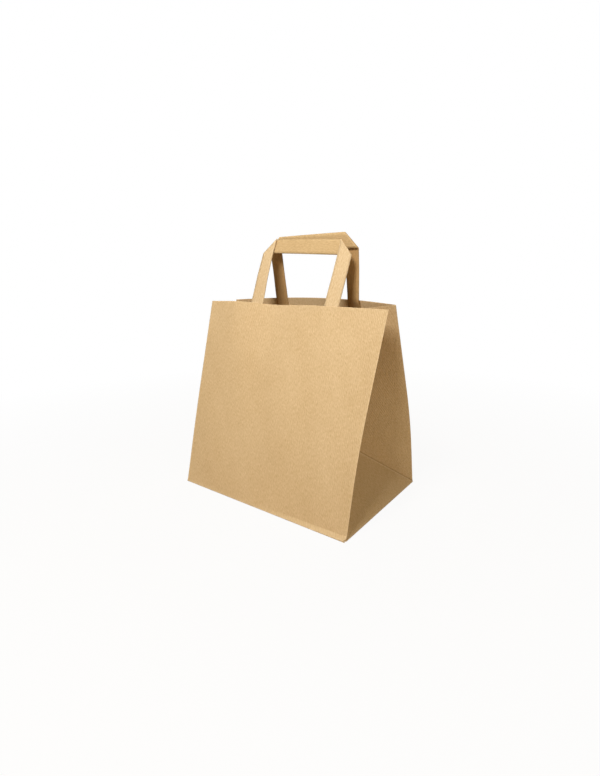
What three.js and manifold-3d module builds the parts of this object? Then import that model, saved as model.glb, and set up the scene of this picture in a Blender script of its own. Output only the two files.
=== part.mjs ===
// A block-bottom paper carrier with folded side gussets and two flat paper handles.
// Millimetres, +Z up. X runs along the wide panels, -Y is the front, and the origin is
// the middle of the base, on the surface that the bag stands on.

import * as THREE from 'three';
import { mergeVertices } from 'three/addons/utils/BufferGeometryUtils.js';
import Module from 'manifold-3d';

const wasm = await Module();
wasm.setup();

// The sheet and its main folds
const bagWidth = 260;
const bagDepth = 180;
const panelHeight = 256.4;
const creaseAboveGusset = 7.6;
const bendReach = 45;
const paperWall = 0.5;
const floorThickness = 1.5;
const gussetFloorTilt = 52;

// Where the sheet stands at the rim and at the cross crease, as distances from the
// middle plane of the bag. The mouth is nearly closed at the right and open at the left.
const frontRimLeft = -23.2;
const frontRimRight = -1.8;
const rearRimLeft = 23.2;
const rearRimRight = 15.7;
const rearRimBow = 17;
const frontCreaseLeft = -65.8;
const frontCreaseRight = -63.5;
const rearCreaseLeft = 64.7;
const rearCreaseRight = 71.9;
const rearCreaseBow = 4;

// The lengthwise glued lap on the rear panel
const lapEdge = 96;
const lapWidth = 20;
const lapStep = 0.3;
const lapFade = 60;

// The folded base, seen from below
const flapOverlap = 24;
const sideTuckDepth = 0.4;
const flapSeamWidth = 0.8;
const flapSeamDepth = 0.3;

// Handles
const stripWidth = 19;
const stripPly = 0.9;
const handleWidth = 135;
const handleInsert = 46;
const glueGap = 0.3;

// Where each handle is glued, how far it stands above the rim, and how it leans inwards
const frontHandleCentre = 2.4;
const frontHandleRise = 84.4;
const frontHandleSkew = 3.6;
const frontHandleLeanLeft = 26.5;
const frontHandleLeanRight = 13.6;
const rearHandleCentre = 8.7;
const rearHandleRise = 79.7;
const rearHandleSkew = 0.4;
const rearHandleLeanLeft = 17;
const rearHandleLeanRight = -1.5;

// Reinforcing patches over the ends of the legs
const patchWidth = 158;
const patchHeight = 44;
const patchBelowRim = 12;
const patchPly = 0.4;
const patchRamp = 3;

// How finely the curved sheets are divided
const foldMargin = 6;
const panelColumns = 16;
const gussetStations = 5;
const upperRows = 8;
const rimBend = 4;
const barColumns = 10;

const kraft = 0xc9a57a;
const kraftRoughness = 0.85;

const halfWidth = bagWidth / 2;
const halfDepth = bagDepth / 2;
const creaseHeight = halfDepth + creaseAboveGusset;
const flapReach = halfDepth + flapOverlap / 2;

const front = {
  side: -1,
  rim: [frontRimLeft, frontRimRight],
  crease: [frontCreaseLeft, frontCreaseRight],
  rimBow: 0,
  creaseBow: 0,
  lean: [frontHandleLeanLeft, frontHandleLeanRight],
  skew: frontHandleSkew,
  centre: frontHandleCentre,
  rise: frontHandleRise,
};
const rear = {
  side: 1,
  rim: [rearRimLeft, rearRimRight],
  crease: [rearCreaseLeft, rearCreaseRight],
  rimBow: rearRimBow,
  creaseBow: rearCreaseBow,
  lean: [rearHandleLeanLeft, rearHandleLeanRight],
  skew: rearHandleSkew,
  centre: rearHandleCentre,
  rise: rearHandleRise,
};

function mix(a, b, t) {
  return a + (b - a) * t;
}

function acrossPanel(ends, bow, x) {
  const t = (x + halfWidth) / bagWidth;
  return mix(ends[0], ends[1], t) + bow * Math.cos((Math.PI * x) / bagWidth);
}

// A point of a wide panel bent sharply at the cross crease, at a height measured along
// the paper. The paper keeps its length, so a panel that leans more stands lower.
function creasedPoint(panel, x, height) {
  const yBase = panel.side * halfDepth;
  const yCrease = acrossPanel(panel.crease, panel.creaseBow, x);
  const yRim = acrossPanel(panel.rim, panel.rimBow, x);
  const zCrease = Math.sqrt(creaseHeight ** 2 - (yBase - yCrease) ** 2);
  if (height <= creaseHeight) {
    const low = height / creaseHeight;
    return new THREE.Vector3(x, mix(yBase, yCrease, low), zCrease * low);
  }
  const upperLength = panelHeight - creaseHeight;
  const high = (height - creaseHeight) / upperLength;
  const zRim = zCrease + Math.sqrt(upperLength ** 2 - (yCrease - yRim) ** 2);
  return new THREE.Vector3(x, mix(yCrease, yRim, high), mix(zCrease, zRim, high));
}

// The open bag has opened that crease out into a soft bend, a curve between two heights.
function panelPoint(panel, x, height) {
  const start = creaseHeight - bendReach;
  const t = (height - start) / (2 * bendReach);
  if (t <= 0 || t >= 1) {
    return creasedPoint(panel, x, height);
  }
  const low = creasedPoint(panel, x, start);
  const corner = creasedPoint(panel, x, creaseHeight);
  const high = creasedPoint(panel, x, creaseHeight + bendReach);
  return low.lerp(corner, t).lerp(corner.clone().lerp(high, t), t);
}

// The top end of a gusset's middle crease: half a gusset away from both rim corners,
// and its own paper length away from the tip of the base triangle.
function gussetTop(sign, apex) {
  const frontCorner = panelPoint(front, sign * halfWidth, panelHeight);
  const rearCorner = panelPoint(rear, sign * halfWidth, panelHeight);
  const middle = frontCorner.clone().add(rearCorner).multiplyScalar(0.5);
  const mouth = rearCorner.clone().sub(frontCorner);
  const radius = Math.sqrt(halfDepth ** 2 - mouth.lengthSq() / 4);
  const alongMouth = mouth.clone().normalize();
  const down = new THREE.Vector3(0, 0, -1);
  down.addScaledVector(alongMouth, -down.dot(alongMouth)).normalize();
  const inward = new THREE.Vector3().crossVectors(alongMouth, down);
  if (inward.x * sign > 0) {
    inward.negate();
  }
  const fromApex = middle.clone().sub(apex);
  const p = 2 * radius * fromApex.dot(inward);
  const q = 2 * radius * fromApex.dot(down);
  const k = (panelHeight - halfDepth) ** 2 - fromApex.lengthSq() - radius ** 2;
  const swing = Math.atan2(q, p) - Math.acos(k / Math.hypot(p, q));
  const other = Math.atan2(q, p) + Math.acos(k / Math.hypot(p, q));
  const angle = Math.abs(swing) < Math.abs(other) ? swing : other;
  return middle
    .addScaledVector(inward, radius * Math.cos(angle))
    .addScaledVector(down, radius * Math.sin(angle));
}

// A gusset seen as flat paper: across runs from the front fold to the rear fold, and
// height runs along the paper. Below the two diagonal folds lies the base triangle.
function makeGusset(sign) {
  const tilt = THREE.MathUtils.degToRad(gussetFloorTilt);
  const apexX = sign * (halfWidth - halfDepth * Math.cos(tilt));
  const apex = new THREE.Vector3(apexX, 0, halfDepth * Math.sin(tilt));
  const top = gussetTop(sign, apex);
  const innerEnd = (panel, height) => {
    if (height <= halfDepth) {
      return panelPoint(panel, sign * halfWidth, 0).lerp(apex, height / halfDepth);
    }
    return apex.clone().lerp(top, (height - halfDepth) / (panelHeight - halfDepth));
  };
  return (across, height) => {
    const panel = across <= halfDepth ? front : rear;
    const fromFold = across <= halfDepth ? across : bagDepth - across;
    if (fromFold <= height) {
      const reach = Math.min(height, halfDepth);
      const share = reach > 0 ? fromFold / reach : 0;
      return panelPoint(panel, sign * halfWidth, height).lerp(innerEnd(panel, height), share);
    }
    const share = (across - height) / (bagDepth - 2 * height);
    return innerEnd(front, height).lerp(innerEnd(rear, height), share);
  };
}

// Distances from a fold: close to the fold first, then evenly to the middle crease.
function stationsToCrease() {
  const stations = [0, foldMargin];
  const span = halfDepth - 2 * foldMargin;
  for (let i = 1; i < gussetStations; i += 1) {
    stations.push(foldMargin + (span * i) / gussetStations);
  }
  stations.push(halfDepth - foldMargin, halfDepth);
  return stations;
}

function panelStations() {
  const stations = [-halfWidth, -halfWidth + foldMargin];
  const span = bagWidth - 2 * foldMargin;
  for (let i = 1; i < panelColumns; i += 1) {
    stations.push(-halfWidth + foldMargin + (span * i) / panelColumns);
  }
  stations.push(halfWidth - foldMargin, halfWidth);
  stations.push(lapEdge, lapEdge + paperWall);
  return stations.sort((a, b) => a - b);
}

function rowHeights() {
  const rows = [...stationsToCrease(), creaseHeight];
  for (let i = 1; i <= upperRows; i += 1) {
    rows.push(mix(creaseHeight, panelHeight, i / upperRows));
  }
  return rows;
}

// The extra thickness on the outside of the rear panel beside the glued lap.
function lapExtra(x) {
  if (x > lapEdge) {
    return 0;
  }
  const past = Math.max(0, lapEdge - lapWidth - x);
  return lapStep * Math.max(0, 1 - past / lapFade);
}

// The columns of the folded sheet, once round the bag, counterclockwise from above.
function bagColumns() {
  const across = panelStations();
  const half = stationsToCrease();
  const gusset = [...half, ...half.slice(0, -1).reverse().map((s) => bagDepth - s)];
  const inner = gusset.slice(1, -1);
  const rightGusset = makeGusset(1);
  const leftGusset = makeGusset(-1);
  const columns = [];
  for (const x of across) {
    columns.push({ at: (h) => panelPoint(front, x, h), extra: 0, half: 0 });
  }
  for (const w of inner) {
    columns.push({ at: (h) => rightGusset(w, h), extra: 0, half: w < halfDepth ? 1 : 2 });
  }
  for (const x of [...across].reverse()) {
    columns.push({ at: (h) => panelPoint(rear, x, h), extra: lapExtra(x), half: 0 });
  }
  for (const w of [...inner].reverse()) {
    columns.push({ at: (h) => leftGusset(w, h), extra: 0, half: w > halfDepth ? 1 : 2 });
  }
  return { columns, perPanel: across.length, perGusset: inner.length };
}

// The two triangles of one cell. On the first half of a gusset the diagonal fold rises
// with the columns, and on the second half it falls.
function cellTriangles(a, b, c, d, falling) {
  if (falling) {
    return [[a, b, d], [b, c, d]];
  }
  return [[a, b, c], [a, c, d]];
}

function solveThree(m, v) {
  const matrix = new THREE.Matrix3().set(...m).invert();
  return v.clone().applyMatrix3(matrix);
}

// How far a vertex moves so that each face beside it moves out by one unit.
function mitre(normals, weights, floorPull, zShift) {
  const softness = 0.002;
  const m = [softness, 0, 0, 0, softness, 0, 0, 0, softness];
  const v = new THREE.Vector3();
  normals.forEach((n, index) => {
    const w = weights[index];
    const row = n.toArray();
    for (let r = 0; r < 3; r += 1) {
      for (let c = 0; c < 3; c += 1) {
        m[r * 3 + c] += w * row[r] * row[c];
      }
    }
    v.addScaledVector(n, w);
  });
  m[8] += floorPull;
  v.z += floorPull * zShift;
  return solveThree(m, v);
}

// The folded sheet with its thickness: an outer skin, an inner skin, the cut rim between
// them, and a base of several glued layers.
function bagSheet() {
  const { columns, perPanel, perGusset } = bagColumns();
  const rows = rowHeights();
  const count = columns.length;
  const index = (i, j) => j * count + (i % count);
  const points = [];
  rows.forEach((height) => columns.forEach((column) => points.push(column.at(height))));
  const skin = [];
  for (let j = 0; j < rows.length - 1; j += 1) {
    for (let i = 0; i < count; i += 1) {
      const next = columns[(i + 1) % count];
      const falling = columns[i].half === 2 || next.half === 2;
      const corners = [index(i, j), index(i + 1, j), index(i + 1, j + 1), index(i, j + 1)];
      skin.push(...cellTriangles(...corners, falling));
    }
  }
  const normals = points.map(() => []);
  const weights = points.map(() => []);
  const pull = points.map(() => new THREE.Vector3());
  for (const triangle of skin) {
    const [a, b, c] = triangle.map((k) => points[k]);
    const normal = b.clone().sub(a).cross(c.clone().sub(a)).normalize();
    triangle.forEach((k, slot) => {
      const toNext = points[triangle[(slot + 1) % 3]].clone().sub(points[k]);
      const toLast = points[triangle[(slot + 2) % 3]].clone().sub(points[k]);
      normals[k].push(normal);
      weights[k].push(toNext.angleTo(toLast));
      pull[k].add(toNext.normalize()).add(toLast.normalize());
    });
  }
  const half = paperWall / 2;
  const roundFold = 1.4;
  const strongPull = 50;
  const outer = [];
  const inner = [];
  points.forEach((point, k) => {
    const onFloor = k < count;
    const floorPull = onFloor ? strongPull : 0;
    const out = mitre(normals[k], weights[k], floorPull, 0);
    const into = mitre(normals[k], weights[k], floorPull, -floorThickness / half);
    const foldsOut = pull[k].dot(out) < 0;
    if (foldsOut) {
      out.clampLength(0, roundFold);
    } else if (!onFloor) {
      into.clampLength(0, roundFold);
    }
    const extra = columns[k % count].extra;
    outer.push(point.clone().addScaledVector(out, half + extra));
    inner.push(point.clone().addScaledVector(into, -half));
  });
  const positions = [...outer, ...inner];
  const lift = outer.length;
  const triangles = [];
  for (const [a, b, c] of skin) {
    triangles.push([a, b, c], [a + lift, c + lift, b + lift]);
  }
  const top = rows.length - 1;
  for (let i = 0; i < count; i += 1) {
    const a = index(i, top);
    const b = index(i + 1, top);
    triangles.push([a, b, b + lift], [a, b + lift, a + lift]);
  }
  const loop = (i) => (i + count) % count;
  const closeFloor = (offset, flip) => {
    const add = (a, b, c) => {
      const face = [loop(a) + offset, loop(b) + offset, loop(c) + offset];
      triangles.push(flip ? face.reverse() : face);
    };
    const rearOf = (i) => perPanel + perGusset + (perPanel - 1 - i);
    for (let i = 1; i < perPanel - 2; i += 1) {
      add(i, i + 1, rearOf(i + 1));
      add(i, rearOf(i + 1), rearOf(i));
    }
    const lastInner = perPanel - 2;
    for (let i = perPanel - 1; i < rearOf(lastInner); i += 1) {
      add(lastInner, i, i + 1);
    }
    for (let i = rearOf(1); i < count; i += 1) {
      add(1, i, i + 1);
    }
  };
  closeFloor(0, true);
  closeFloor(lift, false);
  return meshFrom(positions, triangles);
}

function meshFrom(positions, triangles) {
  const geometry = new THREE.BufferGeometry();
  const numbers = new Float32Array(positions.length * 3);
  positions.forEach((point, k) => numbers.set(point.toArray(), k * 3));
  geometry.setAttribute('position', new THREE.BufferAttribute(numbers, 3));
  geometry.setIndex(triangles.flat());
  return geometry;
}

function toSolid(geometry) {
  const bare = geometry.clone();
  bare.deleteAttribute('normal');
  bare.deleteAttribute('uv');
  const merged = mergeVertices(bare, 1e-4);
  return new wasm.Manifold(new wasm.Mesh({
    numProp: 3,
    vertProperties: new Float32Array(merged.attributes.position.array),
    triVerts: new Uint32Array(merged.index.array),
  }));
}

function toGeometry(solid) {
  const mesh = solid.getMesh();
  const geometry = new THREE.BufferGeometry();
  geometry.setAttribute('position', new THREE.BufferAttribute(mesh.vertProperties, 3));
  geometry.setIndex(new THREE.BufferAttribute(mesh.triVerts, 1));
  return geometry;
}

// A plate under the base, from outline points [x, y], reaching up to a given depth.
function cutterPlate(outline, depth) {
  const shape = new THREE.Shape(outline.map(([x, y]) => new THREE.Vector2(x, y)));
  const below = 1;
  const plate = new THREE.ExtrudeGeometry(shape, { depth: depth + below, bevelEnabled: false });
  plate.translate(0, 0, -below);
  return toSolid(plate);
}

// The folded underside: a tucked triangle at each side lies one layer deeper than the
// two big flaps, and the rear flap's end shows as a seam across the middle.
function cutUnderside(body) {
  const past = 2;
  let cut = body;
  for (const sign of [-1, 1]) {
    const outline = [
      [sign * (halfWidth - halfDepth), 0],
      [sign * (halfWidth + past), -halfDepth - past],
      [sign * (halfWidth + past), halfDepth + past],
    ];
    cut = cut.subtract(cutterPlate(outline, sideTuckDepth));
  }
  const endHalf = halfWidth - flapReach;
  const endLine = halfDepth - flapReach;
  const seam = [
    [endHalf - endLine, 0],
    [endHalf, endLine],
    [-endHalf, endLine],
    [-endHalf + endLine, 0],
  ];
  const offset = [
    [-endHalf + endLine - flapSeamWidth, 0],
    [-endHalf - flapSeamWidth, endLine - flapSeamWidth],
    [endHalf + flapSeamWidth, endLine - flapSeamWidth],
    [endHalf - endLine + flapSeamWidth, 0],
  ];
  return cut.subtract(cutterPlate([...seam, ...offset], flapSeamDepth));
}

// The surface that a handle lies on: the inside of its panel below the rim, and a plane
// that leans on from the rim above it. Rise is measured from the rim along the paper.
function handleSurface(panel, x, rise) {
  const rim = panelPoint(panel, x, panelHeight);
  if (rise <= 0) {
    return panelPoint(panel, x, panelHeight + rise);
  }
  const t = (x + halfWidth) / bagWidth;
  const lean = THREE.MathUtils.degToRad(mix(panel.lean[0], panel.lean[1], t));
  const up = new THREE.Vector3(0, -panel.side * Math.sin(lean), Math.cos(lean));
  return rim.addScaledVector(up, rise);
}

function insideOf(panel, x, rise, depth) {
  const step = 2;
  const alongX = handleSurface(panel, x + step, rise).sub(handleSurface(panel, x - step, rise));
  const alongZ = handleSurface(panel, x, rise + step).sub(handleSurface(panel, x, rise - step));
  const inward = alongX.cross(alongZ).normalize().multiplyScalar(panel.side);
  const toFace = paperWall / 2 + depth;
  return handleSurface(panel, x, rise).addScaledVector(inward, toFace);
}

// Flat handle paper is turned slightly in its own plane, then laid on the panel.
function layStrip(panel, geometry) {
  const turn = THREE.MathUtils.degToRad(panel.skew);
  const place = geometry.attributes.position;
  for (let k = 0; k < place.count; k += 1) {
    const u = place.getX(k);
    const v = place.getY(k);
    const x = panel.centre + u * Math.cos(turn) + v * Math.sin(turn);
    const rise = v * Math.cos(turn) - u * Math.sin(turn);
    const laid = insideOf(panel, x, rise, place.getZ(k));
    place.setXYZ(k, laid.x, laid.y, laid.z);
  }
  return geometry;
}

// A closed slab over a grid, from one face to the other.
function gridSlab(columns, rows, lowAt, highAt) {
  const positions = [];
  for (const at of [lowAt, highAt]) {
    for (let j = 0; j <= rows; j += 1) {
      for (let i = 0; i <= columns; i += 1) {
        positions.push(at(i, j));
      }
    }
  }
  const lift = (columns + 1) * (rows + 1);
  const index = (i, j) => j * (columns + 1) + i;
  const triangles = [];
  for (let j = 0; j < rows; j += 1) {
    for (let i = 0; i < columns; i += 1) {
      const a = index(i, j);
      const b = index(i + 1, j);
      const c = index(i + 1, j + 1);
      const d = index(i, j + 1);
      triangles.push([a, c, b], [a, d, c]);
      triangles.push([a + lift, b + lift, c + lift], [a + lift, c + lift, d + lift]);
    }
  }
  const wall = (a, b) => triangles.push([a, b, b + lift], [a, b + lift, a + lift]);
  for (let i = 0; i < columns; i += 1) {
    wall(index(i, 0), index(i + 1, 0));
    wall(index(i + 1, rows), index(i, rows));
  }
  for (let j = 0; j < rows; j += 1) {
    wall(index(columns, j), index(columns, j + 1));
    wall(index(0, j + 1), index(0, j));
  }
  return meshFrom(positions, triangles);
}

// One leg: straight up to the corner, where its end is cut off by the diagonal fold.
// Its divisions are close together where it bends over the rim.
function legSlab(sign, rise) {
  const outer = (sign * handleWidth) / 2;
  const foldStart = rise - stripWidth;
  const below = [-handleInsert, -(2 * handleInsert) / 3, -handleInsert / 3, -rimBend];
  const above = [0, rimBend, foldStart / 3, (2 * foldStart) / 3, foldStart];
  const rows = [...below, ...above];
  const at = (depth) => (i, j) => {
    const across = i * stripWidth;
    const u = sign > 0 ? outer - stripWidth + across : outer + across;
    const corner = foldStart + (sign > 0 ? stripWidth - across : across);
    return new THREE.Vector3(u, j < rows.length ? rows[j] : corner, depth);
  };
  return gridSlab(1, rows.length, at(glueGap), at(glueGap + stripPly));
}

// The bar: a strip in the layer behind the legs, both ends cut by the diagonal folds.
function barSlab(rise) {
  const sink = 0.02;
  const low = glueGap + stripPly - sink;
  const at = (depth) => (i, j) => {
    const half = handleWidth / 2 - j * stripWidth;
    const u = mix(-half, half, i / barColumns);
    return new THREE.Vector3(u, rise - stripWidth + j * stripWidth, depth);
  };
  return gridSlab(barColumns, 1, at(low), at(low + stripPly));
}

// The legs' corner triangles come to a point, so their doubled vertices are merged.
function flatHandle(rise) {
  const parts = [legSlab(-1, rise), legSlab(1, rise), barSlab(rise)].map(toSolid);
  return toGeometry(parts[0].add(parts[1]).add(parts[2]));
}

// The patch lies on the panel, and steps over the two legs under it.
function patchSlab(panel) {
  const legOuter = handleWidth / 2;
  const legInner = legOuter - stripWidth;
  const near = patchRamp;
  const far = 2 * patchRamp;
  const marks = [
    [patchWidth / 2, 0],
    [legOuter + far, 0],
    [legOuter + near, 1],
    [legInner - near, 1],
    [legInner - far, 0],
    [legInner / 2, 0],
  ];
  const rightSide = [...marks].reverse();
  const leftSide = marks.map(([u, step]) => [-u, step]);
  const stops = [...leftSide, [0, 0], ...rightSide];
  const patchRows = 4;
  const clear = glueGap;
  const overLeg = stripPly + glueGap;
  const at = (ply) => (i, j) => {
    const [u, step] = stops[i];
    const x = panel.centre + u;
    const rise = -patchBelowRim - patchHeight + (patchHeight * j) / patchRows;
    return insideOf(panel, x, rise, clear + step * overLeg + ply);
  };
  return gridSlab(stops.length - 1, patchRows, at(0), at(patchPly));
}

function addPiece(group, name, geometry, color) {
  const facesOut = outward(geometry);
  facesOut.computeVertexNormals();
  const material = new THREE.MeshStandardMaterial({ color, roughness: kraftRoughness, metalness: 0 });
  const mesh = new THREE.Mesh(facesOut, material);
  mesh.name = name;
  group.add(mesh);
}

function signedVolume(geometry) {
  const place = geometry.attributes.position;
  const order = geometry.index.array;
  const corner = (k) => new THREE.Vector3().fromBufferAttribute(place, order[k]);
  let volume = 0;
  for (let k = 0; k < order.length; k += 3) {
    volume += corner(k).dot(corner(k + 1).cross(corner(k + 2))) / 6;
  }
  return volume;
}

// Laying a flat piece on the front or the rear panel can turn it inside out.
function outward(geometry) {
  if (signedVolume(geometry) > 0) {
    return geometry;
  }
  const flipped = geometry.clone();
  flipped.setIndex(Array.from(geometry.index.array).reverse());
  return flipped;
}

const bag = new THREE.Group();
bag.name = 'handled_paper_bag';
addPiece(bag, 'bag_body', toGeometry(cutUnderside(toSolid(bagSheet()))), kraft);
addPiece(bag, 'front_handle', layStrip(front, flatHandle(frontHandleRise)), kraft);
addPiece(bag, 'rear_handle', layStrip(rear, flatHandle(rearHandleRise)), kraft);
addPiece(bag, 'front_handle_patch', patchSlab(front), kraft);
addPiece(bag, 'rear_handle_patch', patchSlab(rear), kraft);

export default bag;
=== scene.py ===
import math

import bmesh
import bpy
import numpy as np
from mathutils import Matrix, Vector


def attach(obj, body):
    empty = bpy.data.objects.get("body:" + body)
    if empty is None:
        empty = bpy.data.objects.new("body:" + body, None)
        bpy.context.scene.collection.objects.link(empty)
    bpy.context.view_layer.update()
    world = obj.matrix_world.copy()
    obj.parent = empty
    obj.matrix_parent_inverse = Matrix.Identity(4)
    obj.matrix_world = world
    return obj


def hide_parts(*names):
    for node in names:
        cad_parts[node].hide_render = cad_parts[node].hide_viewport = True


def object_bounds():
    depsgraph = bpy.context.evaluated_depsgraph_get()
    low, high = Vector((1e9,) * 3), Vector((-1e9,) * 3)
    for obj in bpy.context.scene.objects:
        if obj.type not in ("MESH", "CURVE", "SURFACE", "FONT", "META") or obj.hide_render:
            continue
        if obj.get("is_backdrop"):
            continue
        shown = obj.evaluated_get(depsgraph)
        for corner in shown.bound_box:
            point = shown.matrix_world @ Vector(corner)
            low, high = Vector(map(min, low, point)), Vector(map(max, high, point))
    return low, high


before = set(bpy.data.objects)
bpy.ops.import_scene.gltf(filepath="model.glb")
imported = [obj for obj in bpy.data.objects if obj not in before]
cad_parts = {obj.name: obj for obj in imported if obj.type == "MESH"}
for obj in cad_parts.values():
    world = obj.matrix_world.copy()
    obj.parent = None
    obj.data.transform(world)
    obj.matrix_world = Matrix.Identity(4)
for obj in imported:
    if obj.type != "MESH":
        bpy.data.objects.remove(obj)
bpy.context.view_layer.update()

# The bag's sheet.
# One length of brown kraft paper, glued into a tube along a lap, with both sides folded
# inwards as gussets and the bottom end folded up square. It stands open on its base.

PLY = 0.0003
HALF_WIDTH = 0.130
HALF_DEPTH = 0.090
PANEL_HEIGHT = 0.2564
CROSS_CREASE = 0.0976
BEND_REACH = 0.045
TRIANGLE_TILT = math.radians(52)
UNDER_SHEET = 2 * PLY
BASE_EASE = 0.020

# How far the rim and the cross crease of each wide panel lie from the middle of the bag,
# at its left and at its right side, and how much they bow or ripple.
FRONT = {
    "side": -1,
    "rim": (-0.0232, -0.0018),
    "rim_bow": 0.0,
    "crease": (-0.0658, -0.0635),
    "crease_bow": 0.0,
    "ripple": 0.007,
}
REAR = {
    "side": 1,
    "rim": (0.0232, 0.0157),
    "rim_bow": 0.017,
    "crease": (0.0647, 0.0719),
    "crease_bow": 0.004,
    "ripple": 0.0,
}
RIPPLE_CENTRE = -0.051
RIPPLE_LENGTH = 0.155
RIPPLE_SPREAD = 0.060

LAP_EDGE = 0.096
LAP_WIDTH = 0.020
LAP_FADE = 0.060

LIP_HEIGHT = 0.0046
LIP_DEPTH = 0.0036
LIP_RETURN = 0.045
LIP_WRAP = 0.010
LIP_START = 0.013
LEAST_LIP = 0.10
REAR_LIP = -0.25
NICK_DEPTH = 0.0022
NICK_BACK = 0.0011
NICK_SIZE = 0.0016
RIM_FLUTE = 0.00035
FLUTE_LENGTH = 0.0155
FLUTE_FADE = 0.022
FLUTE_WANDER = (3, 40)

SWELL = 0.0005
GUSSET_SWELL = 0.6
GUSSET_SHIFT = 6 * HALF_WIDTH
FOLD_CALM = 0.040
# Each wave's share, its rates round the bag and up it, and where it starts.
SWELL_WAVES = ((1.0, 31, 22, 0.6), (0.6, 57, -38, 2.1), (0.5, 96, 17, 4.0))

# The paper has a point at each of these distances from a fold, and then at even steps.
NEAR_FOLD = (0, 0.0004, 0.0011, 0.0022, 0.0041, LIP_HEIGHT, 0.0051, 0.0070)
GUSSET_STEP = 0.0038
PANEL_STEP = 0.0042
FOLD_ROUND = 0.0012
FOLD_PASSES = 3
ROOM_POINTS = 7
ROOM_SHARE = 0.8
EASED_ROWS = 3
ROW_RISE = 0.1
TINY = 1e-9
ON_EDGE = 1e-6


def mixed(a, b, t):
    """A point or number between a and b. t may be an array, one share for each point."""
    t = np.asarray(t, float)
    if np.ndim(a) > np.ndim(t):
        t = t[..., None]
    return a + (b - a) * t


def across_panel(ends, bow, x):
    """A value that runs from the left side of a panel to the right, bowed in between."""
    share = (x + HALF_WIDTH) / (2 * HALF_WIDTH)
    return mixed(ends[0], ends[1], share) + bow * np.cos(np.pi * x / (2 * HALF_WIDTH))


def calm_near(distance, reach):
    """Rises smoothly from 0 at no distance to 1 at the reach."""
    share = np.clip(distance / reach, 0, 1)
    return share * share * (3 - 2 * share)


def swell(around, from_fold, height):
    """Paper that has been folded flat and opened is never quite plane between its folds."""
    quiet = calm_near(from_fold, FOLD_CALM) * calm_near(height, FOLD_CALM)
    wave = 0
    for share, round_rate, up_rate, start in SWELL_WAVES:
        wave = wave + share * np.sin(around * round_rate + height * up_rate + start)
    return SWELL * quiet * wave


def creased_point(panel, x, height):
    """A wide panel bent sharply at the cross crease, at a height along the paper."""
    y_base = panel["side"] * HALF_DEPTH
    y_crease = across_panel(panel["crease"], panel["crease_bow"], x)
    calm = np.exp(-(((x - RIPPLE_CENTRE) / RIPPLE_SPREAD) ** 2))
    ripple = np.sin(2 * np.pi * (x - RIPPLE_CENTRE) / RIPPLE_LENGTH) * calm
    y_rim = across_panel(panel["rim"], panel["rim_bow"], x) + panel["ripple"] * ripple
    z_crease = np.sqrt(CROSS_CREASE**2 - (y_base - y_crease) ** 2)
    upper = PANEL_HEIGHT - CROSS_CREASE
    z_rim = z_crease + np.sqrt(upper**2 - (y_crease - y_rim) ** 2)
    low = np.minimum(height / CROSS_CREASE, 1)
    high = np.maximum((height - CROSS_CREASE) / upper, 0)
    y = mixed(mixed(y_base, y_crease, low), y_rim, high)
    z = mixed(z_crease * low, z_rim, high)
    return np.stack(np.broadcast_arrays(x, y, z), axis=-1)


def panel_point(panel, x, height):
    """A wide panel as it stands, with the cross crease opened into a soft bend."""
    x, height = np.broadcast_arrays(np.asarray(x, float), np.asarray(height, float))
    start = CROSS_CREASE - BEND_REACH
    t = (height - start) / (2 * BEND_REACH)
    low = creased_point(panel, x, np.full_like(height, start))
    corner = creased_point(panel, x, np.full_like(height, CROSS_CREASE))
    high = creased_point(panel, x, np.full_like(height, CROSS_CREASE + BEND_REACH))
    bent = mixed(mixed(low, corner, t), mixed(corner, high, t), t)
    inside = ((t > 0) & (t < 1))[..., None]
    point = np.where(inside, bent, creased_point(panel, x, height))
    around = x * -panel["side"] + (2 + panel["side"]) * HALF_WIDTH
    point[..., 1] += panel["side"] * swell(around, HALF_WIDTH - np.abs(x), height)
    wander, rate = FLUTE_WANDER
    flute = np.sin(2 * np.pi * x / FLUTE_LENGTH + wander * np.sin(rate * x))
    fade = np.exp((height - PANEL_HEIGHT) / FLUTE_FADE)
    middle = calm_near(HALF_WIDTH - np.abs(x), FOLD_CALM)
    point[..., 1] += RIM_FLUTE * flute * fade * middle * (height <= PANEL_HEIGHT)
    return point


def gusset_top(sign, apex):
    """Where the gusset's middle crease ends, from the lengths of the paper round it."""
    front_corner = panel_point(FRONT, sign * HALF_WIDTH, PANEL_HEIGHT)
    rear_corner = panel_point(REAR, sign * HALF_WIDTH, PANEL_HEIGHT)
    middle = (front_corner + rear_corner) / 2
    mouth = rear_corner - front_corner
    radius = math.sqrt(HALF_DEPTH**2 - mouth @ mouth / 4)
    along = mouth / np.linalg.norm(mouth)
    down = np.array([0.0, 0.0, -1.0])
    down -= (down @ along) * along
    down /= np.linalg.norm(down)
    inward = np.cross(along, down)
    inward *= -np.sign(inward[0] * sign)
    reach = middle - apex
    p = 2 * radius * (reach @ inward)
    q = 2 * radius * (reach @ down)
    k = (PANEL_HEIGHT - HALF_DEPTH) ** 2 - reach @ reach - radius**2
    swing = math.acos(k / math.hypot(p, q))
    angle = min(math.atan2(q, p) - swing, math.atan2(q, p) + swing, key=abs)
    return middle + radius * (math.cos(angle) * inward + math.sin(angle) * down)


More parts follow.
